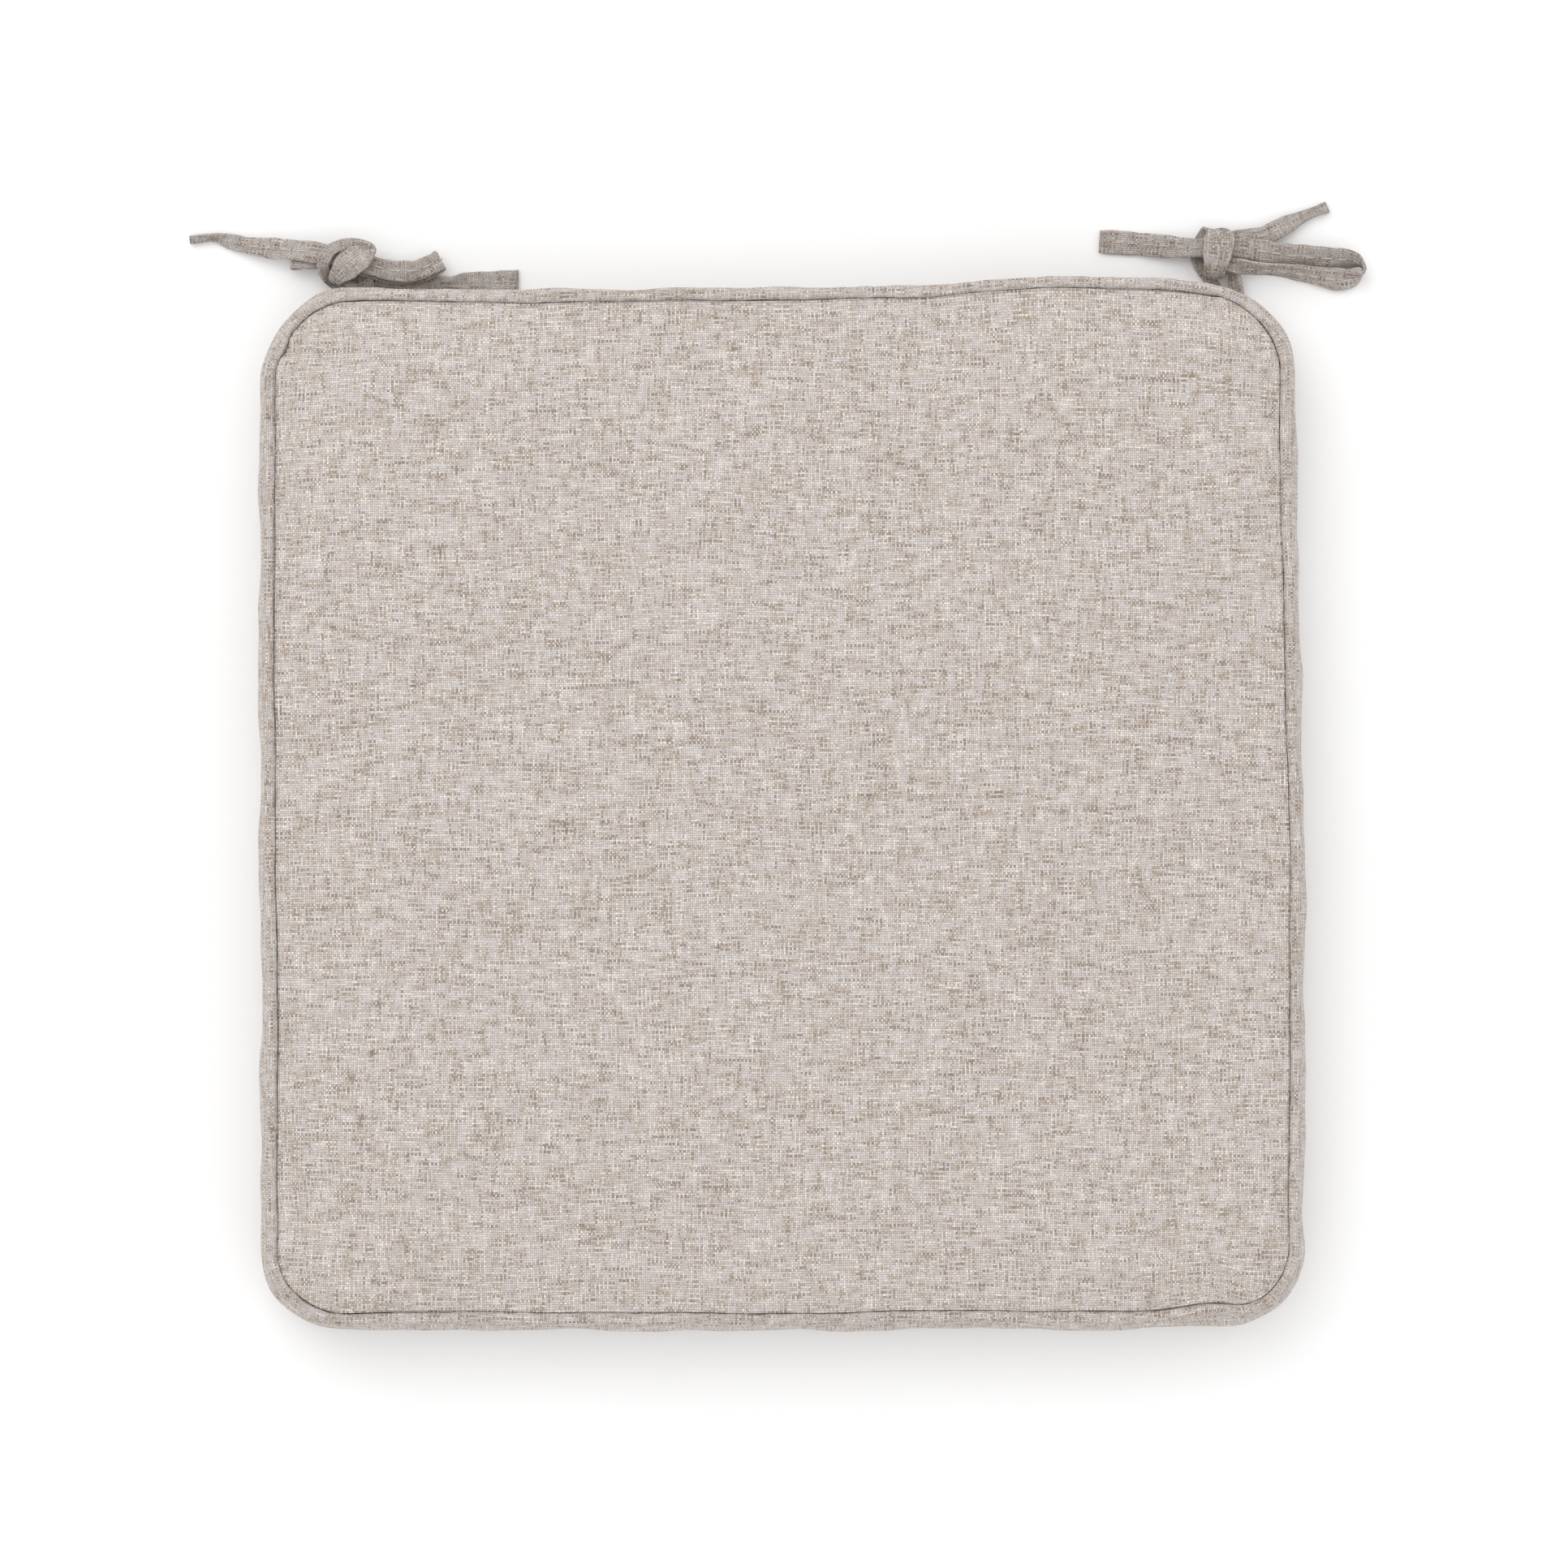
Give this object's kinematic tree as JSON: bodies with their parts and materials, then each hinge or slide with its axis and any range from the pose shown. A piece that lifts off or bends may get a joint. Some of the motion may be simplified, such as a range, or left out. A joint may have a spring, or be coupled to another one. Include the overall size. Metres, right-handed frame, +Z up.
{
  "type": "chair seat pad",
  "caption": "Square boxed seat pad with piped edges, woven melange cover, zipped back wall, foam filling and a knotted strap tie at each back corner.",
  "frame": {"origin": "centre of the underside, on the surface that the pad lies on", "axes": "+Z up through the thickness, +Y towards the back edge with the ties, +X to the right seen from the front"},
  "size_m": [0.4794, 0.4581, 0.0415],
  "materials": {
    "cover_cloth": "plain weave, melange yarns",
    "piping_cloth": "plain weave, melange yarns",
    "tie_cloth": "plain weave, folded and stitched",
    "piping_cord": "twisted cotton",
    "foam": "open-cell foam",
    "wadding": "polyester fibre",
    "zip_tape": "woven tape",
    "zip_coil": "nylon coil",
    "zip_metal": "satin nickel"
  },
  "bodies": {
    "cover": {"top_panel": "cover_cloth", "bottom_panel": "cover_cloth", "side_boxing": "cover_cloth", "rear_boxing_upper": "cover_cloth", "rear_boxing_lower": "cover_cloth", "top_piping_cover": "piping_cloth", "top_piping_cord": "piping_cord", "bottom_piping_cover": "piping_cloth", "bottom_piping_cord": "piping_cord", "foam_core": "foam", "top_wadding": "wadding", "bottom_wadding": "wadding", "zip_tape_upper": "zip_tape", "zip_tape_lower": "zip_tape", "zip_coil_upper": "zip_coil", "zip_coil_lower": "zip_coil"},
    "zip_slider": {"zip_slider": "zip_metal"},
    "zip_pull": {"zip_pull_tab": "zip_metal"},
    "left_tie": {"left_tie_bow_strap": "tie_cloth", "left_tie_wrap_strap": "tie_cloth"},
    "right_tie": {"right_tie_bow_strap": "tie_cloth", "right_tie_wrap_strap": "tie_cloth"}
  },
  "joints": [
    {"name": "zip_slide", "type": "slide", "parent": "cover", "child": "zip_slider", "axis": [1, 0, 0], "range_m": [-0.274, 0]},
    {"name": "pull_swing", "type": "hinge", "parent": "zip_slider", "child": "zip_pull", "pos_m": [0.137, 0.2085, 0.0185], "axis": [0, 0, -1], "range_deg": [0, 170]},
    {"name": "left_tie_swing", "type": "hinge", "parent": "cover", "child": "left_tie", "pos_m": [-0.173, 0.208, 0.0015], "axis": [1, 0, 0], "range_deg": [-90, 15]},
    {"name": "right_tie_swing", "type": "hinge", "parent": "cover", "child": "right_tie", "pos_m": [0.182, 0.208, 0.0015], "axis": [1, 0, 0], "range_deg": [-90, 15]}
  ]
}
